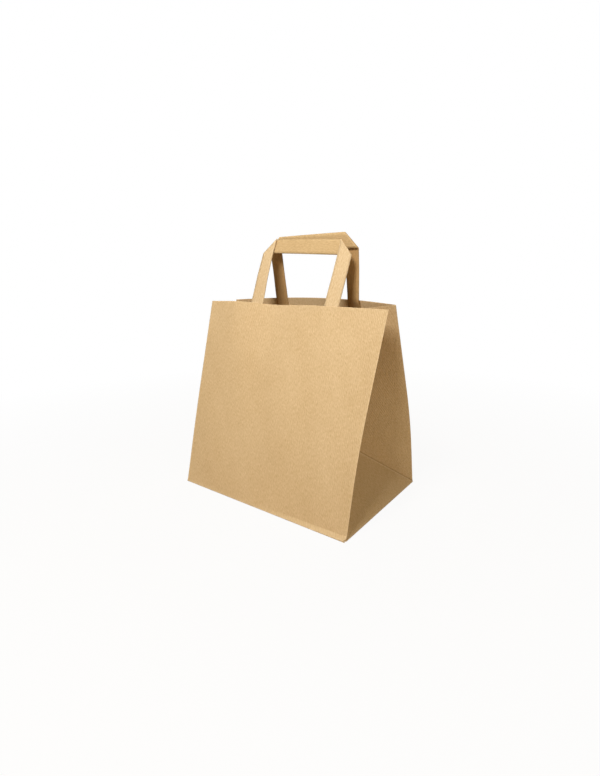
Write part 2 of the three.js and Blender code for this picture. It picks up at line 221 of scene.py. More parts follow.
def gusset_point(sign, across, height):
    """A side gusset. across runs over the flat paper from the front fold to the rear."""
    across, height = np.broadcast_arrays(across, height)
    slope = np.array([math.cos(TRIANGLE_TILT), math.sin(TRIANGLE_TILT)]) * HALF_DEPTH
    apex = np.array([sign * (HALF_WIDTH - slope[0]), 0, slope[1]])
    top = gusset_top(sign, apex)
    low_share = np.clip(height / HALF_DEPTH, 0, 1)
    high_share = np.clip((height - HALF_DEPTH) / (PANEL_HEIGHT - HALF_DEPTH), 0, 1)
    ends = {}
    edges = {}
    for name, panel in (("front", FRONT), ("rear", REAR)):
        foot = panel_point(panel, sign * HALF_WIDTH, 0.0)
        corner = np.broadcast_to(foot, height.shape + (3,))
        ends[name] = mixed(mixed(corner, apex, low_share), top, high_share)
        edges[name] = panel_point(panel, np.full_like(height, sign * HALF_WIDTH), height)
    rear_half = (across > HALF_DEPTH)[..., None]
    from_fold = np.where(across > HALF_DEPTH, 2 * HALF_DEPTH - across, across)
    edge = np.where(rear_half, edges["rear"], edges["front"])
    end = np.where(rear_half, ends["rear"], ends["front"])
    in_half = HALF_DEPTH / 2 - np.abs(from_fold - HALF_DEPTH / 2)
    around = across + GUSSET_SHIFT + sign * HALF_WIDTH
    bulge = swell(around, in_half, height - HALF_DEPTH)
    upright = mixed(edge, end, from_fold / np.maximum(np.minimum(height, HALF_DEPTH), TINY))
    over = (across - height) / np.maximum(2 * (HALF_DEPTH - height), TINY)
    lying = mixed(ends["front"], ends["rear"], over)
    upright[..., 0] += GUSSET_SWELL * sign * bulge
    return np.where((from_fold <= height + TINY)[..., None], upright, lying)


def stations(length, step):
    """Distances along the paper, close together beside the folds at both ends."""
    start, end = NEAR_FOLD[-1], length - NEAR_FOLD[-1]
    count = max(2, round((end - start) / step))
    middle = np.linspace(start, end, count + 1)[1:-1]
    return np.array([*NEAR_FOLD, *middle, *(length - n for n in reversed(NEAR_FOLD))])


to_crease = stations(HALF_DEPTH, GUSSET_STEP)
over_gusset = np.concatenate([to_crease, 2 * HALF_DEPTH - to_crease[-2::-1]])[1:-1]
over_panel = stations(2 * HALF_WIDTH, PANEL_STEP) - HALF_WIDTH
lap_start = LAP_EDGE - LAP_WIDTH
lap_marks = np.array([LAP_EDGE, LAP_EDGE + PLY, lap_start, lap_start + PLY])
over_panel = np.unique(np.concatenate([over_panel, lap_marks]))
above_apex = HALF_DEPTH + stations(PANEL_HEIGHT - HALF_DEPTH, PANEL_STEP)[1:]
rows = np.concatenate([to_crease, above_apex])

heights = rows[:, None]
front_grid = panel_point(FRONT, over_panel[None, :], heights)
right_grid = gusset_point(1, over_gusset[None, :], heights)
rear_grid = panel_point(REAR, over_panel[None, ::-1], heights)
left_grid = gusset_point(-1, over_gusset[None, ::-1], heights)
sheet = np.concatenate([front_grid, right_grid, rear_grid, left_grid], axis=1)

n_panel, n_gusset = len(over_panel), len(over_gusset)
n_round = sheet.shape[1]
first_right = n_panel - 1
first_rear = n_panel + n_gusset
first_left = first_rear + n_panel - 1
right_fold = 2 * HALF_WIDTH
rear_fold = right_fold + 2 * HALF_DEPTH
left_fold = rear_fold + 2 * HALF_WIDTH
girth = left_fold + 2 * HALF_DEPTH
flat_round = np.concatenate(
    [
        over_panel + HALF_WIDTH,
        right_fold + over_gusset,
        rear_fold + HALF_WIDTH - over_panel[::-1],
        left_fold + over_gusset,
    ]
)
crease_marks = np.array([right_fold + HALF_DEPTH, left_fold + HALF_DEPTH])
fold_marks = np.array([0, right_fold, rear_fold, left_fold, *crease_marks, girth])
to_fold = np.abs(flat_round[:, None] - fold_marks[None, :]).min(axis=1)


def unit(vectors):
    """Vectors of length 1 along the given ones."""
    return vectors / np.maximum(np.linalg.norm(vectors, axis=-1, keepdims=True), TINY)


def skin_normals(grid):
    """Outward directions of a sheet that closes on itself, one for each point."""
    back = grid - np.roll(grid, 1, axis=1)
    ahead = np.roll(grid, -1, axis=1) - grid
    along = unit(unit(back) + unit(ahead))
    up = unit(np.gradient(grid, axis=0))
    return unit(np.cross(along, up))


# The pressed fold round the base leaves a narrow lip that stands out a little, most of
# it at the front towards the closed side of the mouth.
front_share = mixed(LEAST_LIP, 1, calm_near(over_panel + LIP_START, HALF_WIDTH + LIP_START))
rear_share = np.full(n_panel, REAR_LIP)
near_fold = np.exp(-over_gusset / LIP_WRAP)
right_share = front_share[-1] * near_fold + REAR_LIP * near_fold[::-1]
left_share = REAR_LIP * near_fold + front_share[0] * near_fold[::-1]
lip_share = np.concatenate([front_share, right_share, rear_share, left_share])
past_lip = np.maximum(rows - LIP_HEIGHT, 0)
lip_shape = np.minimum(rows / LIP_HEIGHT, 1) * np.exp(-past_lip / LIP_RETURN)
sheet[..., 1] += LIP_DEPTH * lip_share[None, :] * lip_shape[:, None]

# A small nick where the lip and the gusset's base edge part at the front right corner.
from_corner = np.abs(flat_round - right_fold)[None, :]
nick = np.exp(-((from_corner / NICK_SIZE) ** 2)) * np.exp(-((rows[:, None] / NICK_SIZE) ** 2))
sheet[..., 0] -= NICK_DEPTH * nick
sheet[..., 1] += NICK_BACK * nick

# The bottom layers lie under the sheet, so it starts two plies up.
sheet[..., 2] += UNDER_SHEET * np.clip(1 - rows / BASE_EASE, 0, 1)[:, None]


def soften_folds(grid):
    """Rounds each fold over about a millimetre."""
    close = to_fold < FOLD_ROUND
    for _ in range(FOLD_PASSES):
        eased = 0.5 * grid + 0.25 * (np.roll(grid, 1, axis=1) + np.roll(grid, -1, axis=1))
        grid = np.where(close[None, :, None], eased, grid)
    return grid


sheet = soften_folds(sheet)


def room_at_folds(grid):
    """Half the distance between the two walls beside a fold, a limit for the inner skin."""
    room = np.full(grid.shape[:2], PLY)
    centres = [int(np.argmin(np.abs(flat_round - mark))) for mark in fold_marks[:-1]]
    for centre in centres:
        for k in range(1, ROOM_POINTS + 1):
            left, right = (centre - k) % n_round, (centre + k) % n_round
            half = np.linalg.norm(grid[:, left] - grid[:, right], axis=-1) / 2
            for side in (left, right):
                room[:, side] = np.minimum(room[:, side], ROOM_SHARE * half)
    return room


def lap_skins():
    """Extra thickness on the outside and the inside of the rear panel at the glued lap."""
    outer, inner = np.zeros(n_round), np.zeros(n_round)
    x = over_panel[::-1]
    rear = slice(first_rear, first_rear + n_panel)
    past = np.clip((lap_start - x) / LAP_FADE, 0, 1)
    outer[rear] = np.where(x <= LAP_EDGE + ON_EDGE, PLY * (1 - past), 0)
    beside = np.clip((x - LAP_EDGE) / LAP_FADE, 0, 1)
    inner[rear] = np.where(x >= lap_start + PLY - ON_EDGE, PLY * (1 - beside), 0)
    return outer, inner


def floor_faces():
    """Strips from the front edge of the base to the rear edge, and a fan at each side."""
    rear_of = [first_rear + n_panel - 1 - i for i in range(n_panel)]
    faces = [(i, i + 1, rear_of[i + 1], rear_of[i]) for i in range(1, n_panel - 2)]
    last = n_panel - 2
    faces += [(last, i, i + 1) for i in range(n_panel - 1, rear_of[last])]
    faces += [(1, i, i + 1) for i in range(rear_of[1], n_round)]
    return faces


def wall_faces(j, i):
    """The sheet between two rows and two columns, split along the gusset's diagonal folds."""
    a, b = j * n_round + i, j * n_round + (i + 1) % n_round
    c, d = b + n_round, a + n_round
    in_right, in_left = first_right <= i < first_rear, i >= first_left
    if not (in_right or in_left) or rows[j] > HALF_DEPTH - ON_EDGE:
        return [(a, b, c, d)]
    first = first_right if in_right else first_left
    if i >= first + len(to_crease) - 1:
        return [(a, b, d), (b, c, d)]
    return [(a, b, c), (a, c, d)]


def bag_sheet_mesh():
    """The sheet with both its faces, closed along the rim and under the base."""
    normals = skin_normals(sheet)
    lap_out, lap_in = lap_skins()
    room = room_at_folds(sheet)
    outer = sheet + normals * (np.minimum(room, PLY / 2) + lap_out[None, :])[..., None]
    inner = sheet - normals * (np.minimum(room, PLY / 2) + lap_in[None, :])[..., None]
    outer[0, :, 2] = UNDER_SHEET
    inner[0, :, 2] = UNDER_SHEET + PLY
    for j in range(1, EASED_ROWS + 1):
        least = UNDER_SHEET + PLY * (1 + ROW_RISE * j)
        inner[j, :, 2] = np.maximum(inner[j, :, 2], least)
    points = np.concatenate([outer.reshape(-1, 3), inner.reshape(-1, 3)])
    lift = outer.shape[0] * n_round
    faces = []
    for j in range(len(rows) - 1):
        for i in range(n_round):
            for face in wall_faces(j, i):
                faces.append(face)
                faces.append(tuple(k + lift for k in reversed(face)))
    top = (len(rows) - 1) * n_round
    for i in range(n_round):
        a, b = top + i, top + (i + 1) % n_round
        faces.append((a, b, b + lift, a + lift))
    for offset, flip in ((0, True), (lift, False)):
        for face in floor_faces():
            placed = [(k % n_round) + offset for k in face]
            faces.append(tuple(reversed(placed)) if flip else tuple(placed))
    return points, faces


def add_piece(name, points, faces, uv=None, marks=None):
    """A mesh object at the origin, with its paper's map and each point's wear, which along the folds
    is also a painted highlight.
    """
    mesh = bpy.data.meshes.new(name)
    mesh.from_pydata([tuple(p) for p in points], [], faces)
    mesh.validate()
    piece = bpy.data.objects.new(name, mesh)
    bpy.context.scene.collection.objects.link(piece)
    order = np.zeros(len(mesh.loops), int)
    mesh.loops.foreach_get("vertex_index", order)
    if uv is not None:
        layer = mesh.uv_layers.new(name="paper")
        layer.data.foreach_set("uv", np.asarray(uv, float)[order].ravel())
    values = np.zeros(len(points)) if marks is None else marks
    crease = mesh.attributes.new("crease", "FLOAT", "POINT")
    crease.data.foreach_set("value", np.asarray(values, np.float32))
    mesh.polygons.foreach_set("use_smooth", [True] * len(mesh.polygons))
    return piece


# How far the lighter marks reach from the folds, the base edge and the cut rim. Along the folds and
# the base edge they are wear and also a painted highlight; at the rim they are the lighter cut edge.
FOLD_WEAR_AND_HIGHLIGHT_REACH = 0.0009
BASE_WEAR_AND_HIGHLIGHT_REACH = 0.0016
WORN_RIM = 0.0006
RIM_WEAR = 0.6
INNER_SHIFT = (0.0, 0.4)

points, faces = bag_sheet_mesh()
flat_paper = np.stack(np.broadcast_arrays(flat_round[None, :], rows[:, None]), axis=-1)
outer_uv = flat_paper.reshape(-1, 2)
# Each point's share of these lighter marks, stored as the mesh's crease attribute: wear, and a
# painted highlight along the folds and the base edge.
to_middle = np.abs(flat_round[:, None] - crease_marks[None, :]).min(axis=1)
along_fold = np.exp(-to_fold / FOLD_WEAR_AND_HIGHLIGHT_REACH)[None, :]
below_apex = (rows[:, None] < HALF_DEPTH) & (to_middle[None, :] < HALF_DEPTH / 2)
across_fold = np.where(below_apex, 0, along_fold)
base_fold = np.exp(-rows / BASE_WEAR_AND_HIGHLIGHT_REACH)[:, None]
cut_rim = RIM_WEAR * np.exp(-(PANEL_HEIGHT - rows) / WORN_RIM)[:, None]
wear_and_fold_highlight = np.clip(across_fold + base_fold + cut_rim, 0, 1).ravel()
bag_sheet = add_piece(
    "bag_sheet",
    points,
    faces,
    np.concatenate([outer_uv, outer_uv + np.array(INNER_SHIFT)]),
    np.concatenate([wear_and_fold_highlight, wear_and_fold_highlight]),
)


class Shade:
    """A shader socket that Python arithmetic can be written with."""

    def __init__(self, tree, socket):
        self.tree = tree
        self.socket = socket

    def node(self, kind, settings=None, **sockets):
        """Adds a node. Sockets are named, or numbered as in_0, and hold values or links."""
        made = self.tree.nodes.new(kind)
        for key, value in (settings or {}).items():
            if key == "stops":
                ramp = made.color_ramp
                for index, (place, color) in enumerate(value):
                    stop = ramp.elements[index] if index < 2 else ramp.elements.new(place)
                    stop.position = place
                    stop.color = color
            else:
                setattr(made, key, value)
        for key, value in sockets.items():
            slot = int(key[3:]) if key.startswith("in_") else key.replace("_", " ")
            target = made.inputs[slot]
            if isinstance(value, Shade):
                self.tree.links.new(value.socket, target)
            else:
                target.default_value = value
        return made

    def out(self, made, index=0):
        return Shade(self.tree, made.outputs[index])

    def maths(self, operation, first, second=0.0):
        settings = {"operation": operation}
        return self.out(self.node("ShaderNodeMath", settings, in_0=first, in_1=second))

    def blend(self, share, first, second):
        """A colour between two colours, by a share that may change over the surface."""
        made = self.node("ShaderNodeMix", {"data_type": "RGBA"}, in_0=share, in_6=first, in_7=second)
        return self.out(made, 2)

    def __add__(self, other):
        return self.maths("ADD", self, other)

    def __mul__(self, other):
        return self.maths("MULTIPLY", self, other)

    def __sub__(self, other):
        return self.maths("SUBTRACT", self, other)

    def __rsub__(self, other):
        return self.maths("SUBTRACT", other, self)

    __radd__ = __add__
    __rmul__ = __mul__


def linear(red, green, blue):
    """A colour given as it looks on a screen, from 0 to 255."""
    return tuple(((c / 255 + 0.055) / 1.055) ** 2.4 for c in (red, green, blue)) + (1.0,)


# Features to a metre across and along the grain, place in the noise, detail, roughness.
FIBRES = (1250, 300, 0.0, 3.0, 0.6)
STRANDS = (860, 260, 3.1, 2.0, 0.6)
CLOUDS = (24, 15, 7.7, 3.0, 0.6)
WANDER = (34, 11, 11.3, 1.0, 0.5)
FLECKS = (900, 170, 17.9, 1.0, 0.4)
STREAKS = (72, 7, 23.9, 2.0, 0.5)
RIB_WANDER = 9.0
# Colours of the dark and the light flecks. The dark one is also the painted shade beside the
# gusset's creases, the light one also the painted highlight on them.
FLECK_AND_SHADE_DARK = linear(150, 112, 68)
FLECK_AND_HIGHLIGHT_LIGHT = linear(240, 217, 178)
BLACK, WHITE = (0, 0, 0, 1), (1, 1, 1, 1)
DARK_FLECKS = {"stops": [(0.72, BLACK), (0.80, WHITE)]}
LIGHT_FLECKS = {"stops": [(0.20, WHITE), (0.29, BLACK)]}
# Width of the lighter line on the gusset's creases, which is also a painted highlight, and where the
# painted shade line beside it lies and how fast it fades.
PAINTED_CREASE_WIDTH = 0.0009
PAINTED_SHADE_OFFSET = 2.2
PAINTED_SHADE_FADE = 0.55
BUMP_HEIGHT = 0.00012
BUMP_STRENGTH = 0.55
LEAST_ROUGHNESS = 0.70
PAPER_IOR = 1.45


def kraft_paper(name, colors, ribbing, along_v, seed, slant=0.0, crease_light_and_shade=False):
    """Uncoated kraft: long fibres, faint ribs from the paper machine, and soft clouding, lighter
    with wear at the cut rim, and with wear and a painted highlight along the folds.

    The grain runs along v of the paper's map, or along u, turned by the slant. Where creases are
    asked for, the gusset's diagonal creases get a lighter pressed line that is also a painted
    highlight, with a painted shade line just beside it.
    """
    material = bpy.data.materials.new(name)
    material.use_nodes = True
    tree = material.node_tree
    tree.nodes.clear()
    paper = Shade(tree, None)
    sheet_uv = paper.out(paper.node("ShaderNodeUVMap", {"uv_map": "paper"}))
    place = paper.node("ShaderNodeSeparateXYZ", in_0=sheet_uv)
    u, v = paper.out(place, 0), paper.out(place, 1)
    lean_cos, lean_sin = math.cos(slant), math.sin(slant)
    cross, grain = (u, v) if along_v else (v, u)
    cross, grain = cross * lean_cos + grain * lean_sin, grain * lean_cos - cross * lean_sin

    def noise(across, along, shift, detail, rough):
        spot = paper.node(
            "ShaderNodeCombineXYZ", in_0=cross * across, in_1=grain * along, in_2=seed + shift
        )
        made = paper.node(
            "ShaderNodeTexNoise",
            {"noise_dimensions": "3D"},
            Vector=paper.out(spot),
            Scale=1.0,
            Detail=detail,
            Roughness=rough,
        )
        return paper.out(made)

    fibres, strands, clouds = noise(*FIBRES), noise(*STRANDS), noise(*CLOUDS)
    wander, flecks, streaks = noise(*WANDER), noise(*FLECKS), noise(*STREAKS)
    rib_pitch, rib_height = ribbing
    ribs = paper.maths("SINE", cross * (2 * math.pi / rib_pitch) + wander * RIB_WANDER)
    # The crease attribute lightens the paper: wear at the cut rim, and wear with a painted highlight
    # along the folds and the base edge.
    wear_and_highlight = paper.out(paper.node("ShaderNodeAttribute", {"attribute_name": "crease"}), 2)
    # From 0, the darker of the two colours, to 1, the lighter.
    tone = (
        fibres * 1.10
        + strands * 1.20
        + clouds * 0.40
        + streaks * 0.16
        + ribs * 0.05
        + wear_and_highlight * (fibres * 0.5 + 0.10)
        - 0.95
    )
    dark_share = paper.out(paper.node("ShaderNodeValToRGB", DARK_FLECKS, Fac=flecks)) * 0.40
    light_share = paper.out(paper.node("ShaderNodeValToRGB", LIGHT_FLECKS, Fac=flecks)) * 0.30
    # Along the gusset's diagonal creases: a lighter pressed line that is also a painted highlight,
    # and a painted shade line just beside it.
    if crease_light_and_shade:
        to_first, to_second = (paper.maths("ABSOLUTE", u - float(mark)) for mark in crease_marks)
        above = paper.maths("MINIMUM", to_first, to_second) + v - HALF_DEPTH
        from_painted_shade = paper.maths("ABSOLUTE", above - PAINTED_SHADE_OFFSET * PAINTED_CREASE_WIDTH)
        painted_crease_highlight = 1.0 - paper.maths("ABSOLUTE", above) * (1 / PAINTED_CREASE_WIDTH)
        beside = 1.0 - from_painted_shade * (PAINTED_SHADE_FADE / PAINTED_CREASE_WIDTH)
        light_share = light_share + paper.maths("MAXIMUM", painted_crease_highlight) * 0.50
        dark_share = dark_share + paper.maths("MAXIMUM", beside) * 0.55
    fleckless = paper.blend(tone, *colors)
    darker = paper.blend(dark_share, fleckless, FLECK_AND_SHADE_DARK)
    relief = fibres * 0.9 + strands * 1.1 + ribs * rib_height
    bump = paper.node(
        "ShaderNodeBump", Strength=BUMP_STRENGTH, Distance=BUMP_HEIGHT, Height=relief
    )
    shader = paper.node(
        "ShaderNodeBsdfPrincipled",
        Base_Color=paper.blend(light_share, darker, FLECK_AND_HIGHLIGHT_LIGHT),
        Roughness=fibres * 0.22 + LEAST_ROUGHNESS,
        Normal=paper.out(bump),
        IOR=PAPER_IOR,
    )
    paper.node("ShaderNodeOutputMaterial", Surface=paper.out(shader))
    return material


SHEET_COLORS = (linear(193, 160, 112), linear(228, 200, 157))
SHEET_RIBS = (0.0024, 0.55)
SHEET_SLANT = math.radians(24)
# The bag's sheet gets the painted highlight and the painted shade along the gusset's creases.
sheet_paper = kraft_paper(
    "sheet_kraft", SHEET_COLORS, SHEET_RIBS, True, 1.0, SHEET_SLANT, crease_light_and_shade=True
)
bag_sheet.data.materials.append(sheet_paper)
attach(bag_sheet, "root")
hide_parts("bag_body")

# The folded base.
# The front flap and then the rear flap are folded over and glued, over the tucked
# triangles of the gussets. Each flap is one ply of the same sheet, with diagonal ends.

FLAP_OVERLAP = 0.024
FLAP_ROWS = 24
FLAP_COLUMNS = 60
FLAP_FOLD = 0.002
FLAP_THICKNESS = (0.60, 0.95)
FLAP_SHIFT = (0.5, 0.9)


def slab_faces(n_rows, n_columns):
    """The faces of a closed ply: a grid of points below, the same above, and its edges."""
    wide, lift = n_columns + 1, (n_rows + 1) * (n_columns + 1)
    faces = []
    for j in range(n_rows):
        for i in range(n_columns):
            a = j * wide + i
            quad = (a, a + 1, a + wide + 1, a + wide)
            faces.append(quad)
            faces.append(tuple(k + lift for k in reversed(quad)))
    ring = [j * wide for j in range(n_rows, 0, -1)] + list(range(wide))
    ring += [j * wide + n_columns for j in range(1, n_rows + 1)]
    ring += [n_rows * wide + i for i in range(n_columns - 1, 0, -1)]
    for k, a in enumerate(ring):
        b = ring[(k + 1) % len(ring)]
        faces.append((b, a, a + lift, b + lift))
    return faces


def flap_points(side, low):
    """A trapezoid ply that starts at its panel's base edge and ends past the middle."""
    reach = HALF_DEPTH + FLAP_OVERLAP / 2
    share = np.linspace(0, 1, FLAP_ROWS + 1)
    span = np.linspace(-1, 1, FLAP_COLUMNS + 1)
    inset = share * reach
    x = span[None, :] * (HALF_WIDTH - inset)[:, None]
    y = side * (HALF_DEPTH - inset)[:, None] + 0 * x
    thickness = PLY * mixed(*FLAP_THICKNESS, calm_near(inset, FLAP_FOLD))[:, None]
    bottom = np.stack([x, y, low + 0 * x], axis=-1)
    top = np.stack([x, y, low + thickness + 0 * x], axis=-1)
    return np.concatenate([bottom.reshape(-1, 3), top.reshape(-1, 3)])


def facing_out(piece):
    """Recalculates the faces of a closed mesh so that they point outwards."""
    solid = bmesh.new()
    solid.from_mesh(piece.data)
    bmesh.ops.recalc_face_normals(solid, faces=solid.faces)
    solid.to_mesh(piece.data)
    solid.free()


for flap_name, side, low in (("front_base_flap", -1, PLY), ("rear_base_flap", 1, 0.0)):
    points = flap_points(side, low)
    faces = slab_faces(FLAP_ROWS, FLAP_COLUMNS)
    flap = add_piece(flap_name, points, faces, points[:, :2] + np.array(FLAP_SHIFT))
    facing_out(flap)
    flap.data.materials.append(sheet_paper)
    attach(flap, "root")

# The handles.
# Each is a tape of kraft paper folded into several plies, turned over by a diagonal fold
# at its two upper corners, and glued by both legs to the inside of its panel.

STRIP_WIDTH = 0.019
HANDLE_WIDTH = 0.135
HANDLE_INSERT = 0.046
TAPE_THICKNESS = 0.0009
TAPE_PLIES = 4
TAPE_PLY = TAPE_THICKNESS / TAPE_PLIES
PLY_FILL = 0.93
GLUE_GAP = 0.0003
PLY_SCATTER = 0.00010
STRAIGHT_ABOVE = 0.040
TWIST_START = 0.012
TWIST_REACH = 0.013
LIFT_REACH = 0.035
LEG_EDGE = 0.001
SLOPE_STEP = 0.002
TAPE_COLUMNS = 6
LEG_STATIONS = 44
BAR_STATIONS = 48
TAPE_SHIFT = (0.3, 0.2)
# Leans, skews and twists are in degrees. A pair is for the left and for the right leg.
HANDLES = {
    "front_handle": {
        "panel": FRONT,
        "centre": 0.0024,
        "rise": 0.0844,
        "lean": (26.5, 13.6),
        "skew": 3.6,
        "twist": (6, 0),
        "foot_twist": (18, 0),
        "closing": (0.0026, 0.0022),
        "leg_lift": (0.0011, 0.0),
        "bar_lift": 0.0,
        "seed": 3,
    },
    "rear_handle": {
        "panel": REAR,
        "centre": 0.0087,
        "rise": 0.0797,
        "lean": (17.0, -1.5),
        "skew": 0.4,
        "twist": (0, 6),
        "foot_twist": (0, 0),
        "closing": (-0.0009, -0.0014),
        "leg_lift": (0.0, 0.0),
        "bar_lift": 0.0012,
        "seed": 8,
    },
}


def handle_surface(handle, x, rise):
    """The panel below the rim, and above it a leaning surface that pulls itself straight."""
    panel = handle["panel"]
    below = panel_point(panel, x, PANEL_HEIGHT + np.minimum(rise, 0))
    half_span = (HANDLE_WIDTH - STRIP_WIDTH) / 2
    feet = handle["centre"] + np.array([-half_span, half_span])
    left_foot, right_foot = panel_point(panel, feet, PANEL_HEIGHT)
    along = ((x - feet[0]) / (2 * half_span))[..., None]
    chord = left_foot + (right_foot - left_foot) * along
    below = mixed(below, chord, calm_near(rise, STRAIGHT_ABOVE))
    share = (x + HALF_WIDTH) / (2 * HALF_WIDTH)
    lean = np.radians(mixed(handle["lean"][0], handle["lean"][1], share))
    above = np.maximum(rise, 0)
    up = np.stack([0 * x, -panel["side"] * np.sin(lean) * above, np.cos(lean) * above], axis=-1)
    return below + up


def inside_of(handle, x, rise, depth):
    """A point at a depth inside the panel, or inside the surface that goes on from it."""
    step = SLOPE_STEP
    along = handle_surface(handle, x + step, rise) - handle_surface(handle, x - step, rise)
    up = handle_surface(handle, x, rise + step) - handle_surface(handle, x, rise - step)
    inward = np.cross(along, up)
    inward *= handle["panel"]["side"] / np.linalg.norm(inward, axis=-1, keepdims=True)
    return handle_surface(handle, x, rise) + inward * (PLY / 2 + depth)[..., None]


def lay_on_panel(handle, flat, level):
    """Turns flat tape a little in its own plane and lays it inside the panel."""
    turn = math.radians(handle["skew"])
    u, v = flat[:, 0], flat[:, 1]
    inner_edge = HANDLE_WIDTH / 2 - STRIP_WIDTH
    beyond = np.maximum(np.abs(u) - inner_edge, 0)
    side = (u > 0).astype(int)
    below_fold = np.clip(1 - v / (handle["rise"] - STRIP_WIDTH), 0, None)
    on_leg = calm_near(beyond + LEG_EDGE, LEG_EDGE)
    closing = np.array(handle["closing"])[side]
    closed = u - np.sign(u) * closing * below_fold * on_leg
    x = handle["centre"] + closed * math.cos(turn) + v * math.sin(turn)
    rise = v * math.cos(turn) - closed * math.sin(turn)
    free = calm_near(rise + TWIST_START, TWIST_REACH)
    foot_twist = np.array(handle["foot_twist"])[side]
    twist = np.array(handle["twist"])[side] + foot_twist * (1 - calm_near(rise, STRAIGHT_ABOVE))
    turned_in = beyond * np.tan(np.radians(twist)) * free
    to_fold_line = v - (handle["rise"] - STRIP_WIDTH)
    if level:
        lifted = handle["bar_lift"] * (1 - to_fold_line / STRIP_WIDTH)
    else:
        near_fold = calm_near(to_fold_line + LIFT_REACH, LIFT_REACH)
        lifted = -np.array(handle["leg_lift"])[side] * (1 - beyond / STRIP_WIDTH) * near_fold
    return inside_of(handle, x, rise, flat[:, 2] + turned_in + lifted)


def tape_ply(name, low_edge, high_edge):
    """One closed ply between two long edges, given as matching lists of flat points."""
    low, high = np.array(low_edge, float), np.array(high_edge, float)
    share = np.linspace(0, 1, TAPE_COLUMNS + 1)
    grid = low[:, None, :] + (high - low)[:, None, :] * share[None, :, None]
    flat = np.concatenate([grid, np.zeros(grid.shape[:2] + (1,))], axis=-1).reshape(-1, 3)
    points = np.concatenate([flat, flat + np.array([0, 0, TAPE_PLY * PLY_FILL])])
    piece = add_piece(name, points, slab_faces(len(low) - 1, TAPE_COLUMNS))
    facing_out(piece)
    return piece


def ply_stack_tree():
    """Repeats a flat ply upwards, each copy a little out of line with the last."""
    tree = bpy.data.node_groups.new("folded_tape_plies", "GeometryNodeTree")
    inputs = {
        "Ply": "Geometry",
        "Plies": "Int",
        "Ply Thickness": "Float",
        "Scatter": "Float",
        "Seed": "Int",
        "Paper": "Material",
    }
    for label, kind in inputs.items():
        tree.interface.new_socket(label, in_out="INPUT", socket_type="NodeSocket" + kind)
    tree.interface.new_socket("Tape", in_out="OUTPUT", socket_type="NodeSocketGeometry")
    add = tree.nodes.new
    link = tree.links.new
    given, result = add("NodeGroupInput"), add("NodeGroupOutput")
    step = add("ShaderNodeCombineXYZ")
    link(given.outputs["Ply Thickness"], step.inputs["Z"])
    line = add("GeometryNodeMeshLine")
    link(given.outputs["Plies"], line.inputs["Count"])
    link(step.outputs[0], line.inputs["Offset"])
    copies = add("GeometryNodeInstanceOnPoints")
    link(line.outputs[0], copies.inputs["Points"])
    link(given.outputs["Ply"], copies.inputs["Instance"])
    spread = add("ShaderNodeCombineXYZ")
    link(given.outputs["Scatter"], spread.inputs["X"])
    link(given.outputs["Scatter"], spread.inputs["Y"])
    least = add("ShaderNodeVectorMath")
    least.operation = "SCALE"
    link(spread.outputs[0], least.inputs[0])
    least.inputs["Scale"].default_value = -1.0
    chance = add("FunctionNodeRandomValue")
    chance.data_type = "FLOAT_VECTOR"
    link(least.outputs[0], chance.inputs["Min"])
    link(spread.outputs[0], chance.inputs["Max"])
    link(given.outputs["Seed"], chance.inputs["Seed"])
    shifted = add("GeometryNodeTranslateInstances")
    link(copies.outputs[0], shifted.inputs["Instances"])
    link(chance.outputs[0], shifted.inputs["Translation"])
    real = add("GeometryNodeRealizeInstances")
    link(shifted.outputs[0], real.inputs[0])
    finish = add("GeometryNodeSetMaterial")
    link(real.outputs[0], finish.inputs["Geometry"])
    link(given.outputs["Paper"], finish.inputs["Material"])
    link(finish.outputs[0], result.inputs[0])
    return tree


def stacked(piece, tree, seed, paper):
    """The flat mesh of a ply repeated by the node tree, as points and faces."""
    modifier = piece.modifiers.new("plies", "NODES")
    modifier.node_group = tree
    values = {
        "Plies": TAPE_PLIES,
        "Ply Thickness": TAPE_PLY,
        "Scatter": PLY_SCATTER,
        "Seed": seed,
        "Paper": paper,
    }
    for item in tree.interface.items_tree:
        if item.in_out == "INPUT" and item.name in values:
            modifier[item.identifier] = values[item.name]
    ready = bpy.context.evaluated_depsgraph_get()
    mesh = bpy.data.meshes.new_from_object(piece.evaluated_get(ready))
    points = np.array([tuple(p.co) for p in mesh.vertices])
    faces = [tuple(face.vertices) for face in mesh.polygons]
    bpy.data.meshes.remove(mesh)
    bpy.data.objects.remove(piece)
    return points, faces


def leg_edges(rise, sign):
    """A leg's inner and outer edge, from the tape's end up to the diagonal fold."""
    edges = []
    for share in (0, 1):
        u = sign * (HANDLE_WIDTH / 2 - STRIP_WIDTH + share * STRIP_WIDTH)
        top = rise - STRIP_WIDTH * share
        edges.append([(u, v) for v in np.linspace(-HANDLE_INSERT, top, LEG_STATIONS)])
    return edges


def bar_edges(rise):
    """The bar's lower and upper edge, between the two diagonal folds."""
    edges = []
    for share in (0, 1):
        half = HANDLE_WIDTH / 2 - share * STRIP_WIDTH
        v = rise - STRIP_WIDTH + share * STRIP_WIDTH
        edges.append([(u, v) for u in np.linspace(-half, half, BAR_STATIONS)])
    return edges


TAPE_RIBS = (0.0031, 0.25)
LEG_COLORS = (linear(200, 168, 122), linear(231, 206, 166))
